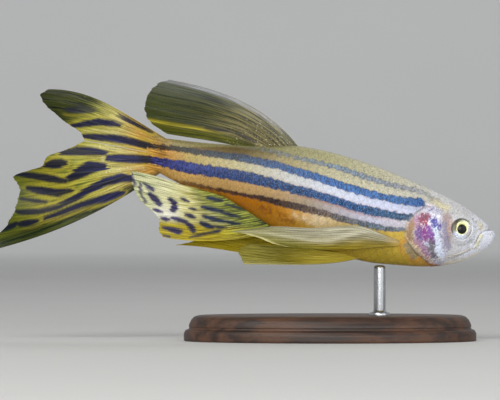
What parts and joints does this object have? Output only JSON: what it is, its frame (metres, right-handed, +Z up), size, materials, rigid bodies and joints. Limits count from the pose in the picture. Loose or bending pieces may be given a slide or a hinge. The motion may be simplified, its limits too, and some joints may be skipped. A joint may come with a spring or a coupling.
{
  "type": "zebra danio",
  "caption": "Long-finned zebra danio swimming nose down, striped blue and gold, held over an oval stand by a thin rod.",
  "frame": {"origin": "middle of the underside of the stand's base", "axes": "+X towards the fish's head, +Y towards its left side, +Z up"},
  "size_m": [0.0606, 0.02, 0.0304],
  "materials": {
    "skin": "wet scaled skin, blue and gold stripes",
    "eye": "wet, gold and silver ring round a black pupil",
    "fin": "translucent yellow membrane with fine rays and blue marks",
    "barbel": "wet, pale yellow",
    "stand_wood": "dark stain, satin",
    "stand_steel": "polished rod"
  },
  "bodies": {
    "root": {"head": "skin", "lower_jaw": "skin", "gill_cover_left": "skin", "gill_cover_right": "skin", "trunk": "skin", "tail_stalk": "skin", "eye_left": "eye", "eye_right": "eye", "barbel_maxillary_left": "barbel", "barbel_maxillary_right": "barbel", "barbel_rostral_left": "barbel", "barbel_rostral_right": "barbel", "dorsal_fin": "fin", "anal_fin": "fin", "caudal_fin_upper": "fin", "caudal_fin_lower": "fin", "pectoral_fin_left": "fin", "pectoral_fin_right": "fin", "pelvic_fin_left": "fin", "pelvic_fin_right": "fin", "stand_base": "stand_wood", "stand_rod": "stand_steel"}
  },
  "joints": []
}
